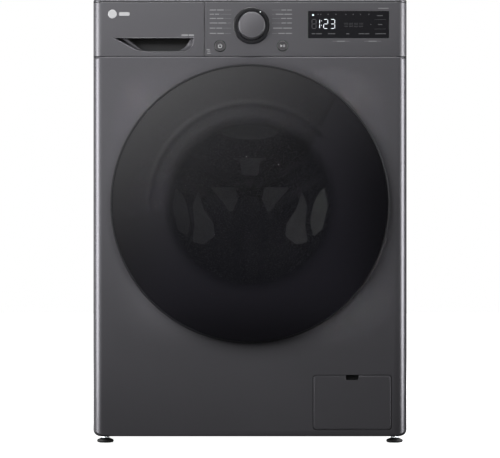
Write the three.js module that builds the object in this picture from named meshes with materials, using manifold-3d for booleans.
// Front load washing machine, millimetres, +Z up, the door facing -Y.
// The origin is the middle of the floor area that the machine covers.
import * as THREE from "three";
import { mergeVertices } from "three/addons/utils/BufferGeometryUtils.js";
import Module from "manifold-3d";

const wasm = await Module();
wasm.setup();

// ---- Driving dimensions -------------------------------------------------------------------
const HALF_WIDTH = 300;
const HEIGHT = 850;
const FRONT_Y = -260; // outer face of the front panel and fascia
const BACK_Y = 300; // outer face of the rear panel
const SHEET = 1.2; // thickness of the cabinet's steel sheet
const CORNER_RADIUS = 18; // vertical corners at the front
const WRAP_Y = -240; // where the front pieces end and the side panels begin
const GAP = 0.4; // clearance between neighbouring pieces

const CABINET_BOTTOM = 14;
const PANEL_TOP = 738.5; // top of the front panel
const FASCIA_BOTTOM = 740;
const FASCIA_TOP = 843.6;
const FASCIA_WALL = 2.5;
const LID_BOTTOM = 844; // front lip of the top panel
const SKIRT_BOTTOM = 826; // sides and back of the top panel
const DRAWER_EDGE_X = -87.5; // seam between drawer front and fascia

const AXIS_Z = 458; // door, drum and tub share one axis
const DOOR_RADIUS = 266;
const DOOR_BACK_Y = -264;
const DOOR_FRONT_Y = -305;
const NECK_RADIUS = 182; // hole that the panel's cone narrows to
const HINGE_X = -251;
const HINGE_Y = -281;
const HOOK_X = 222;

const DRUM_RADIUS = 245;
const DRUM_FRONT_Y = -177;
const DRUM_BACK_Y = 180;
const DRUM_SHEET = 1;
const TUB_RADIUS = 255; // inside
const TUB_WALL = 5;
const TUB_FRONT_Y = -192;
const TUB_BACK_Y = 206; // inside
const SHAFT_RADIUS = 17.5;

const KNOB = { x: 3.2, z: 798.6 };
const POWER = { x: -57.2, z: 759.6, radius: 10.4 };
const START = { x: 62.2, z: 760.1, radius: 9.9 };
const WINDOW = { left: 110.8, right: 265.9, bottom: 774.9, top: 826.9 };
const FLAP = { left: 120.6, right: 270, bottom: 26.9, top: 130.6 };
const PUMP = { x: 195.3, z: 78 };
const FOOT = { x: 278, front: -222, back: 272, radius: 16 };

const ROUND = 36; // facets round the drum, tub and door
const SMALL_ROUND = 14; // facets round small parts

// ---- Materials ----------------------------------------------------------------------------
const finish = (color, roughness, metalness) => new THREE.MeshStandardMaterial({ color, roughness, metalness });
const greyPaint = finish(0x55545a, 0.4, 0.6);
const greyPlastic = finish(0x57565c, 0.45, 0.1);
const blackPlastic = finish(0x17171a, 0.45, 0);
const whitePlastic = finish(0xd9d8d2, 0.55, 0);
const smokedCover = finish(0x101014, 0.08, 0);
const clearGlass = finish(0xbfd0d0, 0.05, 0);
const stainless = finish(0xb9bbbd, 0.3, 1);
const zincSteel = finish(0x9fa3a6, 0.45, 0.9);
const castAluminium = finish(0xa7a9ab, 0.5, 0.9);
const greyRubber = finish(0x6c6d70, 0.8, 0);
const blackRubber = finish(0x202022, 0.85, 0);
const concrete = finish(0x8b8a86, 0.9, 0);

// ---- Solids -------------------------------------------------------------------------------
function toSolid(geometry) {
  const bare = new THREE.BufferGeometry();
  bare.setAttribute("position", geometry.getAttribute("position"));
  bare.setIndex(geometry.index);
  const merged = mergeVertices(bare, 1e-3);
  return new wasm.Manifold(
    new wasm.Mesh({
      numProp: 3,
      vertProperties: merged.attributes.position.array,
      triVerts: new Uint32Array(merged.index.array),
    }),
  );
}

function toGeometry(solid) {
  const { vertProperties, triVerts } = solid.getMesh();
  const geometry = new THREE.BufferGeometry();
  geometry.setAttribute("position", new THREE.BufferAttribute(vertProperties, 3));
  geometry.setIndex(new THREE.BufferAttribute(triVerts, 1));
  geometry.computeVertexNormals();
  return geometry;
}

const join = (...pieces) => toGeometry(pieces.map(toSolid).reduce((a, b) => a.add(b)));
const cut = (piece, ...tools) => toGeometry(tools.map(toSolid).reduce((a, b) => a.subtract(b), toSolid(piece)));
const keep = (piece, region) => toGeometry(toSolid(piece).intersect(toSolid(region)));

function box([x0, x1], [y0, y1], [z0, z1]) {
  const geometry = new THREE.BoxGeometry(x1 - x0, y1 - y0, z1 - z0);
  return geometry.translate((x0 + x1) / 2, (y0 + y1) / 2, (z0 + z1) / 2);
}

// The same box and its mirror image across the machine's middle plane.
const boxPair = ([x0, x1], y, z) => [box([x0, x1], y, z), box([-x1, -x0], y, z)];

// A profile of [radius, y] points turned about a line along Y. A profile that doesn't end on the
// line closes on itself, and one listed clockwise is turned round so that its faces point out.
function turned(profile, { x = 0, z = AXIS_Z, facets = ROUND } = {}) {
  const points = profile.map(([radius, y]) => new THREE.Vector2(radius, y));
  if (THREE.ShapeUtils.area(points) < 0) points.reverse();
  const onAxis = points[0].x === 0 && points.at(-1).x === 0;
  if (!onAxis) {
    const start = points.findIndex((point) => point.x > 0);
    points.push(...points.splice(0, start));
    points.push(points[0].clone());
  }
  return new THREE.LatheGeometry(points, facets).translate(x, 0, z);
}

const disc = (radius, [y0, y1], place) =>
  turned([[0, y0], [radius, y0], [radius, y1], [0, y1]], place);
const ring = (inner, outer, [y0, y1], place) =>
  turned([[inner, y0], [outer, y0], [outer, y1], [inner, y1]], place);

function post(radius, [z0, z1], x, y, facets = SMALL_ROUND) {
  const geometry = new THREE.CylinderGeometry(radius, radius, z1 - z0, facets);
  return geometry.rotateX(Math.PI / 2).translate(x, y, (z0 + z1) / 2);
}

const pipe = (inner, outer, [z0, z1], x, y, facets = SMALL_ROUND) =>
  cut(post(outer, [z0, z1], x, y, facets), post(inner, [z0 - 1, z1 + 1], x, y, facets));

// An outline in the XZ plane, pushed back along Y.
function plate(shape, [y0, y1], curveSegments = SMALL_ROUND) {
  const geometry = new THREE.ExtrudeGeometry(shape, { depth: y1 - y0, bevelEnabled: false, curveSegments });
  return geometry.rotateX(Math.PI / 2).translate(0, y1, 0);
}

// An outline in plan, pushed up along Z.
function wall(shape, [z0, z1], curveSegments = 4) {
  const geometry = new THREE.ExtrudeGeometry(shape, { depth: z1 - z0, bevelEnabled: false, curveSegments });
  return geometry.translate(0, 0, z0);
}

const outline = (points) => new THREE.Shape(points.map(([x, y]) => new THREE.Vector2(x, y)));

function flexible(points, radius, steps) {
  const extrudePath = new THREE.CatmullRomCurve3(points.map((point) => new THREE.Vector3(...point)));
  const section = new THREE.Shape().absarc(0, 0, radius, 0, 2 * Math.PI);
  return new THREE.ExtrudeGeometry(section, { extrudePath, steps, curveSegments: 4, bevelEnabled: false });
}

const machine = new THREE.Group();

function add(name, geometry, material) {
  const mesh = new THREE.Mesh(geometry, material);
  mesh.name = name;
  machine.add(mesh);
}

// ---- Cabinet ------------------------------------------------------------------------------

// Plan of a skin that covers the front and turns back round both corners.
function wrapPlan(thickness) {
  const edge = HALF_WIDTH;
  const arcX = edge - CORNER_RADIUS;
  const arcY = FRONT_Y + CORNER_RADIUS;
  const inner = CORNER_RADIUS - thickness;
  const plan = new THREE.Shape();
  plan.moveTo(-edge, WRAP_Y);
  plan.absarc(-arcX, arcY, CORNER_RADIUS, Math.PI, 1.5 * Math.PI, false);
  plan.absarc(arcX, arcY, CORNER_RADIUS, 1.5 * Math.PI, 2 * Math.PI, false);
  plan.lineTo(edge, WRAP_Y);
  plan.lineTo(edge - thickness, WRAP_Y);
  plan.absarc(arcX, arcY, inner, 2 * Math.PI, 1.5 * Math.PI, true);
  plan.absarc(-arcX, arcY, inner, 1.5 * Math.PI, Math.PI, true);
  plan.lineTo(-edge + thickness, WRAP_Y);
  return plan;
}

function hingeWindow(depth) {
  return box([-262, -214], depth, [414, 502]);
}

function frontPanel() {
  const neckStart = 200;
  const faceBack = FRONT_Y + SHEET;
  const skin = cut(
    wall(wrapPlan(SHEET), [CABINET_BOTTOM, PANEL_TOP]),
    disc(neckStart, [FRONT_Y - 1, faceBack + 1]),
    box([HOOK_X - 16, HOOK_X + 11], [FRONT_Y - 1, faceBack + 1], [445, 471]),
    box([FLAP.left - 0.9, FLAP.right + 0.9], [FRONT_Y - 1, faceBack + 1], [FLAP.bottom - 0.9, FLAP.top + 0.9]),
  );
  const cone = turned([
    [neckStart + 1, FRONT_Y],
    [neckStart + 1, faceBack],
    [NECK_RADIUS + SHEET, WRAP_Y],
    [NECK_RADIUS, WRAP_Y],
    [neckStart - SHEET, FRONT_Y],
  ]);
  add("front_panel", join(skin, cone), greyPaint);
}

function sidePanels() {
  for (const [name, side] of [["side_panel_left", -1], ["side_panel_right", 1]]) {
    const across = (from, to) => [side * from, side * to].sort((a, b) => a - b);
    const skin = box(across(HALF_WIDTH - SHEET, HALF_WIDTH), [WRAP_Y + GAP, BACK_Y], [CABINET_BOTTOM, 825.5]);
    const hanger = box(across(200, HALF_WIDTH - SHEET / 2), [45, 75], [790, 794]);
    const hangerRib = box(across(200, HALF_WIDTH - SHEET / 2), [45, 48], [770, 792]);
    add(name, join(skin, hanger, hangerRib), greyPaint);
  }
}

function rearPanel() {
  const holes = [
    disc(150, [BACK_Y - 5, BACK_Y + 5]),
    disc(14.5, [BACK_Y - 5, BACK_Y + 5], { x: -200, z: 790, facets: SMALL_ROUND }),
    disc(10.5, [BACK_Y - 5, BACK_Y + 5], { x: -240, z: 690, facets: SMALL_ROUND }),
    disc(18.5, [BACK_Y - 5, BACK_Y + 5], { x: 225, z: 640, facets: SMALL_ROUND }),
  ];
  const edge = HALF_WIDTH - SHEET - GAP;
  add("rear_panel", cut(box([-edge, edge], [BACK_Y - SHEET, BACK_Y], [17, 825.5]), ...holes), greyPaint);
  const cover = turned([
    [0, 303.8],
    [140, 303.8],
    [150, 300.4],
    [166, 300.4],
    [166, 301.6],
    [151, 301.6],
    [141, 305],
    [0, 305],
  ]);
  add("rear_service_cover", cover, zincSteel);
}

function basePan() {
  const edge = HALF_WIDTH - SHEET - GAP;
  const tray = cut(
    box([-edge, edge], [WRAP_Y + 4, BACK_Y - SHEET - GAP], [13, 34]),
    box([-edge + 1.5, edge - 1.5], [WRAP_Y + 5.5, BACK_Y - SHEET - GAP - 1.5], [14.5, 40]),
  );
  const holes = [FOOT.front, FOOT.back].flatMap((y) =>
    [-FOOT.x, FOOT.x].map((x) => post(5.6, [10, 20], x, y)),
  );
  add("base_pan", cut(tray, ...holes), zincSteel);
}

// Plan of the whole cabinet: square at the back, rounded at both front corners.
function footprint(inset) {
  const edge = HALF_WIDTH - inset;
  const arcX = HALF_WIDTH - CORNER_RADIUS;
  const arcY = FRONT_Y + CORNER_RADIUS;
  const plan = new THREE.Shape();
  plan.moveTo(-edge, BACK_Y - inset);
  plan.absarc(-arcX, arcY, CORNER_RADIUS - inset, Math.PI, 1.5 * Math.PI, false);
  plan.absarc(arcX, arcY, CORNER_RADIUS - inset, 1.5 * Math.PI, 2 * Math.PI, false);
  plan.lineTo(edge, BACK_Y - inset);
  return plan;
}

function topPanel() {
  const edge = HALF_WIDTH;
  const lid = cut(wall(footprint(0), [LID_BOTTOM, HEIGHT]), wall(footprint(3), [LID_BOTTOM - 1, HEIGHT - 2]));
  const skirt = [SKIRT_BOTTOM, LID_BOTTOM + 1];
  const sides = boxPair([edge - 2, edge], [WRAP_Y + GAP, BACK_Y], skirt);
  const back = box([-edge, edge], [BACK_Y - 2, BACK_Y], skirt);
  add("top_panel", join(lid, ...sides, back), greyPaint);
}

function upperCrossbar() {
  const edge = HALF_WIDTH - 3;
  const bar = join(
    box([-edge, edge], [-236, -234.8], [744, 842]),
    box([-edge, edge], [-236, -214], [840.8, 842]),
  );
  const drawerOpening = box([-277, -101], [-240, -230], [748, 832]);
  const wiringOpenings = [box([20, 95], [-240, -230], [760, 790]), box([150, 240], [-240, -230], [780, 820])];
  add("upper_crossbar", cut(bar, drawerOpening, ...wiringOpenings), zincSteel);
}

function feet() {
  for (const [end, y] of [["front", FOOT.front], ["rear", FOOT.back]])
    for (const [side, x] of [["left", -FOOT.x], ["right", FOOT.x]]) {
      const pad = post(FOOT.radius, [0, 9], x, y);
      const collar = post(7, [8, 12.6], x, y);
      const stud = post(5, [8, 40], x, y);
      add("foot_" + end + "_" + side, join(pad, collar, stud), blackRubber);
    }
}

// ---- Control panel ------------------------------------------------------------------------

function controlFascia() {
  const through = [FRONT_Y - 1, FRONT_Y + FASCIA_WALL + 1];
  const skin = keep(
    wall(wrapPlan(FASCIA_WALL), [FASCIA_BOTTOM, FASCIA_TOP]),
    box([DRAWER_EDGE_X + GAP, HALF_WIDTH + 1], [FRONT_Y - 1, WRAP_Y + 1], [FASCIA_BOTTOM - 1, FASCIA_TOP + 1]),
  );
  const round = (place, radius) => disc(radius, through, { ...place, facets: SMALL_ROUND });
  const holes = [
    round(KNOB, 8),
    round(POWER, POWER.radius + 0.7),
    round(START, START.radius + 0.7),
    box([WINDOW.left - GAP, WINDOW.right + GAP], through, [WINDOW.bottom - GAP, WINDOW.top + GAP]),
  ];
  add("control_fascia", cut(skin, ...holes), greyPlastic);
  const lens = box([WINDOW.left, WINDOW.right], [FRONT_Y, FRONT_Y + 4], [WINDOW.bottom, WINDOW.top]);
  add("display_window", lens, smokedCover);
  add("control_board", box([-75, 275], [-246, -241], [745, 835]), blackPlastic);
}

function programKnob() {
  const place = { ...KNOB, facets: 24 };
  add("knob_ring", ring(27, 35.5, [FRONT_Y - 3.5, FRONT_Y - 0.3], place), blackPlastic);
  const cap = turned(
    [
      [0, -288],
      [22.5, -288],
      [24.5, -286],
      [25, -262],
      [6, -262],
      [6, -247],
      [0, -247],
    ],
    place,
  );
  add("program_knob", cap, greyPlastic);
}

function pushButtons() {
  for (const [name, button] of [["power_button", POWER], ["start_button", START]]) {
    const key = turned(
      [
        [0, FRONT_Y - 1.5],
        [button.radius - 1.2, FRONT_Y - 1.5],
        [button.radius, FRONT_Y - 0.5],
        [button.radius, FRONT_Y + 7],
        [3, FRONT_Y + 7],
        [3, FRONT_Y + 11],
        [0, FRONT_Y + 11],
      ],
      { ...button, facets: SMALL_ROUND },
    );
    add(name, key, greyPlastic);
  }
}

function detergentDrawer() {
  const left = -HALF_WIDTH;
  const skin = keep(
    wall(wrapPlan(FASCIA_WALL), [FASCIA_BOTTOM, FASCIA_TOP]),
    box([left - 1, DRAWER_EDGE_X], [FRONT_Y - 1, WRAP_Y + 1], [FASCIA_BOTTOM - 1, FASCIA_TOP + 1]),
  );
  const block = box([-272, -100], [FRONT_Y + 2, -237], [746, 836]);
  const pull = plate(outline([[-264, 776.4], [-222, 752], [-196, 748], [-122, 748], [-106, 776.4]]), [-262, -240]);
  add("drawer_front", cut(join(skin, block), pull), greyPlastic);

  const floor = 752;
  const back = -22;
  const body = box([-270, -108], [-236.6, back], [floor, 826]);
  const rooms = [[-268, -218], [-216, -166], [-164, -110]].map((x) => box(x, [-234, back - 2], [floor + 2, 830]));
  add("drawer_tray", cut(body, ...rooms), whitePlastic);
}

function dispenserHousing() {
  const shell = cut(
    box([-280, -98], [-234.4, -8], [745, 836]),
    box([-277, -101], [-240, -12], [748, 833]),
    post(10, [740, 750], -180, -60),
  );
  const port = pipe(10, 13, [728, 746], -180, -60);
  add("dispenser_housing", join(shell, port), whitePlastic);
}

// ---- Door ---------------------------------------------------------------------------------

const grip = { x: [236, 272], y: [-280, DOOR_BACK_Y + 1], z: [408, 508] };
const hookSlot = box([HOOK_X - 14, HOOK_X + 9], [-286, DOOR_BACK_Y + 1], [446, 470]);

function doorRing() {
  const lip = 240;
  const rim = turned([
    [260, DOOR_BACK_Y],
    [264.5, -267],
    [DOOR_RADIUS, -272],
    [DOOR_RADIUS, -285],
    [264.5, -288],
    [262, -288.6],
    [262, -285.6],
    [lip, -285.6],
    [lip, -282.4],
    [262.3, -282.4],
    [262.3, -268.6],
    [258, -265.4],
    [258, DOOR_BACK_Y],
  ]);
  const hingeNotch = box([-272, -236], [-279, DOOR_BACK_Y + 1], [412, 504]);
  const hingeRoom = box([-261.2, -236], [-286.5, DOOR_BACK_Y + 1], [412, 504]);
  const handle = box(grip.x, grip.y, grip.z);
  add("door_ring", cut(rim, hingeNotch, hingeRoom, handle, hookSlot), blackPlastic);
}

function doorCover() {
  const cover = turned([
    [0, -303.6],
    [120, -304.2],
    [188, DOOR_FRONT_Y],
    [206, -304],
    [224, -301.2],
    [240, -297],
    [254, -291.8],
    [261.6, -288.4],
    [261.6, -286],
    [252, -288.6],
    [236, -294.4],
    [222, -297.8],
    [204, -300.6],
    [188, -301.5],
    [0, -300.2],
  ]);
  add("door_cover", cover, smokedCover);
}

function doorInnerFrame() {
  const frame = turned([
    [164.5, DOOR_BACK_Y],
    [257.6, DOOR_BACK_Y],
    [257.6, -267],
    [250, -267],
    [236, -281.8],
    [232, -281.8],
    [230, -267],
    [178, -267],
    [178, -271],
    [176, -271],
    [176, -267],
    [164.5, -267],
  ]);
  const hingeRoom = hingeWindow([-283, DOOR_BACK_Y + 1]);
  add("door_inner_frame", cut(frame, hingeRoom, box(grip.x, grip.y, grip.z), hookSlot), blackPlastic);
}

function doorBowl() {
  const bowl = turned([
    [163.8, -267.4],
    [174.5, -267.4],
    [174.5, -271],
    [160, -271],
    [157.5, -240],
    [137, -160],
    [124, -151],
    [0, -148],
    [0, -144],
    [126, -147],
    [141, -158],
    [161.5, -240],
    [163.8, -264],
  ].reverse());
  add("door_bowl", bowl, clearGlass);
}

function doorHinge() {
  const knuckle = [440, 476];
  const barrel = pipe(2.7, 4, knuckle, HINGE_X, HINGE_Y, 16);
  const arm = box([HINGE_X + 3.4, -226], [HINGE_Y - 2, HINGE_Y + 2], knuckle);
  const riser = box([-230, -226], [HINGE_Y - 2, FRONT_Y - 1], knuckle);
  const foot = box([-230, -214.6], [FRONT_Y - 3.4, FRONT_Y - 0.4], [420, 496]);
  add("door_hinge_bracket", join(barrel, arm, riser, foot), zincSteel);

  const pin = post(2.2, [424, 492], HINGE_X, HINGE_Y, 16);
  const ears = [[424, 438], [478, 492]].map((z) => box([HINGE_X - 3.6, HINGE_X + 4], [HINGE_Y - 5, HINGE_Y + 3], z));
  const strap = box([HINGE_X - 1, -238.4], [-287.2, HINGE_Y - 4.4], [424, 492]);
  const leg = [[424, 438], [478, 492]].map((z) => box([HINGE_X, -238.4], [-287.2, HINGE_Y + 3], z));
  add("door_hinge_arm", join(pin, ...ears, strap, ...leg), zincSteel);
}

function doorHook() {
  const plan = outline([
    [HOOK_X - 4, -280],
    [HOOK_X + 4, -280],
    [HOOK_X + 4, -243],
    [HOOK_X - 2, -239],
    [HOOK_X - 10, -245],
    [HOOK_X - 3, -247],
    [HOOK_X - 4, -262],
  ]);
  add("door_hook", wall(plan, [450, 466]), zincSteel);
  const lockBody = box([HOOK_X - 17, HOOK_X + 28], [FRONT_Y + SHEET + GAP, -226], [420, 500]);
  const lockMouth = box([HOOK_X - 14, HOOK_X + 10], [FRONT_Y, -234], [447, 469]);
  add("door_lock", cut(lockBody, lockMouth), blackPlastic);
}

// ---- Tub and gasket -----------------------------------------------------------------------

function tubFront() {
  const outer = TUB_RADIUS + TUB_WALL;
  const shell = turned([
    [178.5, -204],
    [183, -204],
    [184, TUB_FRONT_Y],
    [outer - 6, TUB_FRONT_Y],
    [outer, TUB_FRONT_Y + 6],
    [outer, -8],
    [268, -8],
    [268, -0.3],
    [TUB_RADIUS, -0.3],
    [TUB_RADIUS, TUB_FRONT_Y + 9],
    [TUB_RADIUS - 4, TUB_FRONT_Y + TUB_WALL],
    [178.5, TUB_FRONT_Y + TUB_WALL],
  ]);
  const sumpOuter = box([-62, 62], [TUB_FRONT_Y, -12], [172, 240]);
  const sumpInner = box([-58, 58], [TUB_FRONT_Y + 4, -16], [176, 245]);
  const drumSpace = disc(TUB_RADIUS, [TUB_FRONT_Y + TUB_WALL, 10]);
  const heaterHole = box([-31, 31], [TUB_FRONT_Y - 2, TUB_FRONT_Y + 6], [180, 200]);
  const drainPort = join(post(13, [158, 178], 30, -60), post(16, [166, 170], 30, -60));
  const fillPort = post(14, [634, 668], -180, -60);
  const body = cut(join(shell, sumpOuter, drainPort, fillPort), sumpInner, drumSpace, heaterHole);
  const bores = [post(10, [150, 180], 30, -60), post(11, [620, 680], -180, -60)];
  add("tub_front", cut(body, ...bores), whitePlastic);

  const rods = join(
    box([-24, 24], [-40, -34], [186, 193]),
    box([-24, -18], [-196, -34], [186, 193]),
    box([18, 24], [-196, -34], [186, 193]),
    box([-30, 30], [-198, -192.4], [181, 199]),
  );
  add("heater", rods, stainless);
}

function tubRear() {
  const outer = TUB_RADIUS + TUB_WALL;
  const shell = turned([
    [TUB_RADIUS, 0.3],
    [268, 0.3],
    [268, 8],
    [outer, 8],
    [outer, TUB_BACK_Y],
    [outer - 6, TUB_BACK_Y + 6],
    [56, TUB_BACK_Y + 6],
    [54, 238],
    [36.4, 238],
    [36.4, 207.6],
    [30, 207.6],
    [30, TUB_BACK_Y - 2],
    [60, TUB_BACK_Y - 2],
    [66, TUB_BACK_Y],
    [TUB_RADIUS - 5, TUB_BACK_Y],
    [TUB_RADIUS, TUB_BACK_Y - 5],
  ]);
  const springLugs = boxPair([206, 224], [52, 68], [585, 640]);
  const damperLugs = boxPair([141, 159], [32, 48], [232, 256]);
  const drumSpace = disc(TUB_RADIUS, [2, TUB_BACK_Y - 8]);
  add("tub_rear", cut(join(shell, ...springLugs, ...damperLugs), drumSpace), whitePlastic);
}

function counterweight(name, middleAngle) {
  const spread = (62 * Math.PI) / 180;
  const sector = new THREE.Shape();
  sector.absarc(0, 0, 258, middleAngle - spread, middleAngle + spread, false);
  sector.absarc(0, 0, 192, middleAngle + spread, middleAngle - spread, true);
  const block = plate(sector, [-231, TUB_FRONT_Y - 0.4], 14);
  // plate() turns the outline's second axis towards +Z
  add(name, block.translate(0, 0, AXIS_Z), concrete);
}

function doorGasket() {
  const gasket = turned([
    [172, -243],
    [181, -243],
    [181, -236.5],
    [177, -231],
    [180, -222],
    [180, -212],
    [177.6, -206],
    [177.6, -196],
    [174, -196],
    [174, -208],
    [176.4, -213],
    [176.4, -221],
    [171, -230],
    [166, -236],
    [166, -240],
  ]);
  add("door_gasket", gasket, greyRubber);
}

function suspension() {
  for (const [side, sign] of [["left", -1], ["right", 1]]) {
    add("spring_" + side, pipe(10, 14, [641, 769], sign * 215, 60, 16), zincSteel);
    const rodX = sign * 150;
    const cylinder = cut(post(15, [15, 160], rodX, 40, 16), post(10, [24, 170], rodX, 40, 16));
    add("damper_cylinder_" + side, cylinder, zincSteel);
    const rod = join(post(5, [110, 231.6], rodX, 40, 16), post(9, [110, 122], rodX, 40, 16));
    add("damper_rod_" + side, rod, zincSteel);
  }
}

// ---- Drum and motor -----------------------------------------------------------------------

function drumShell() {
  const r = DRUM_RADIUS;
  const t = DRUM_SHEET;
  const shell = turned([
    [0, DRUM_BACK_Y],
    [r - 9, DRUM_BACK_Y],
    [r, DRUM_BACK_Y - 9],
    [r, DRUM_FRONT_Y + 9],
    [r - 9, DRUM_FRONT_Y],
    [174, DRUM_FRONT_Y],
    [172, DRUM_FRONT_Y + 3],
    [172 + t, DRUM_FRONT_Y + 3],
    [174 + t, DRUM_FRONT_Y + t],
    [r - 9 - t / 2, DRUM_FRONT_Y + t],
    [r - t, DRUM_FRONT_Y + 9 + t / 2],
    [r - t, DRUM_BACK_Y - 9 - t / 2],
    [r - 9 - t / 2, DRUM_BACK_Y - t],
    [0, DRUM_BACK_Y - t],
  ]);
  add("drum", shell, stainless);
}

function lifters() {
  const base = 241;
  const half = [[-32, 0], [-22, 14], [-10, 38], [0, 44]];
  const section = outline([...half, ...half.slice(0, -1).reverse().map(([across, high]) => [-across, high])]);
  for (const [index, degrees] of [90, 210, 330].entries()) {
    const angle = (degrees * Math.PI) / 180;
    const paddle = plate(section, [-150, 160]);
    paddle.translate(0, 0, -base).rotateY(-angle - Math.PI / 2).translate(0, 0, AXIS_Z);
    add("lifter_" + (index + 1), paddle, stainless);
  }
}

function spiderAndShaft() {
  const near = DRUM_BACK_Y + 0.4;
  const hub = disc(42, [near, near + 20], { facets: 24 });
  const shaft = disc(SHAFT_RADIUS, [near + 10, 262], { facets: 24 });
  const arms = [30, 150, 270].map((degrees) => {
    const arm = box([20, 228], [near, near + 14], [-17, 17]);
    return arm.rotateY((-degrees * Math.PI) / 180).translate(0, 0, AXIS_Z);
  });
  add("spider_and_shaft", join(hub, shaft, ...arms), castAluminium);
}

function motor() {
  const facets = 24;
  add("bearing_front", ring(SHAFT_RADIUS + GAP, 36, [208, 222], { facets }), stainless);
  add("bearing_rear", ring(SHAFT_RADIUS + GAP, 36, [224, 237], { facets }), stainless);
  add("motor_stator", ring(58, 124, [213, 236], { facets: 36 }), castAluminium);
  const rotor = turned(
    [
      [SHAFT_RADIUS + GAP, 240],
      [28, 240],
      [28, 250],
      [134, 250],
      [134, 224],
      [140, 224],
      [140, 254],
      [28, 254],
      [28, 259],
      [SHAFT_RADIUS + GAP, 259],
    ],
    { facets: 36 },
  );
  add("motor_rotor", rotor, zincSteel);
}

// ---- Water path ---------------------------------------------------------------------------

function serviceFlap() {
  const door = cut(
    box([FLAP.left, FLAP.right], [FRONT_Y, FRONT_Y + 2.5], [FLAP.bottom, FLAP.top]),
    box([PUMP.x - 13, PUMP.x + 13], [FRONT_Y - 1, FRONT_Y + 4], [FLAP.top - 10, FLAP.top + 1]),
  );
  add("service_flap", door, greyPlastic);
}

function drainPump() {
  const place = { ...PUMP, facets: 24 };
  const housing = turned(
    [
      [0, -96],
      [36, -96],
      [36, -148],
      [33, -152],
      [33, -238],
      [29, -238],
      [29, -164],
      [26, -164],
      [26, -147],
      [0, -147],
    ],
    place,
  );
  const bezel = cut(
    box([FLAP.left + 3, FLAP.right - 3], [-239, -236.6], [FLAP.bottom + 3, FLAP.top - 3]),
    disc(31, [-242, -230], place),
  );
  const inlet = box([PUMP.x - 48, PUMP.x - 30], [-192, -168], [PUMP.z - 12, PUMP.z + 12]);
  const bore = box([PUMP.x - 50, PUMP.x - 26], [-189, -171], [PUMP.z - 9, PUMP.z + 9]);
  add("drain_pump", cut(join(housing, bezel, inlet), bore), blackPlastic);

  const blades = [0, 45, 90, 135].map((degrees) => {
    const blade = box([-20, 20], [-162, -150], [-1.2, 1.2]);
    return blade.rotateY((degrees * Math.PI) / 180).translate(PUMP.x, 0, PUMP.z);
  });
  add("pump_impeller", join(disc(6, [-163, -149], place), ...blades), whitePlastic);

  const cap = turned(
    [
      [0, -246],
      [30.4, -246],
      [30.4, -239.6],
      [27.6, -239.6],
      [27.6, -196],
      [0, -196],
    ],
    place,
  );
  const thumbBar = box([PUMP.x - 24, PUMP.x + 24], [-254, -245], [PUMP.z - 4, PUMP.z + 4]);
  add("filter_cap", join(cap, thumbBar), blackPlastic);
}

function waterConnections() {
  const place = (x, z) => ({ x, z, facets: SMALL_ROUND });
  const valveBody = box([-222, -178], [236, 296], [770, 812]);
  add("inlet_valve", join(valveBody, disc(13, [290, 304.6], place(-200, 790))), whitePlastic);
  add("drain_outlet", ring(12, 18, [280, 304.6], place(225, 640)), blackPlastic);
  add("power_gland", ring(4, 10, [285, 304.6], place(-240, 690)), blackPlastic);
  add("dispenser_hose", pipe(14.4, 17.5, [669, 727.6], -180, -60), blackRubber);
  const route = [
    [30, -60, 157],
    [30, -60, 138],
    [52, -110, 95],
    [104, -172, PUMP.z],
    [PUMP.x - 64, -180, PUMP.z],
    [PUMP.x - 49, -180, PUMP.z],
  ];
  add("sump_hose", flexible(route, 13, 12), blackRubber);
}

frontPanel();
sidePanels();
rearPanel();
basePan();
topPanel();
upperCrossbar();
feet();
controlFascia();
programKnob();
pushButtons();
detergentDrawer();
dispenserHousing();
doorRing();
doorCover();
doorInnerFrame();
doorBowl();
doorHinge();
doorHook();
tubFront();
tubRear();
counterweight("counterweight_top", Math.PI / 2);
counterweight("counterweight_bottom", -Math.PI / 2);
doorGasket();
suspension();
drumShell();
lifters();
spiderAndShaft();
motor();
serviceFlap();
drainPump();
waterConnections();

export default machine;
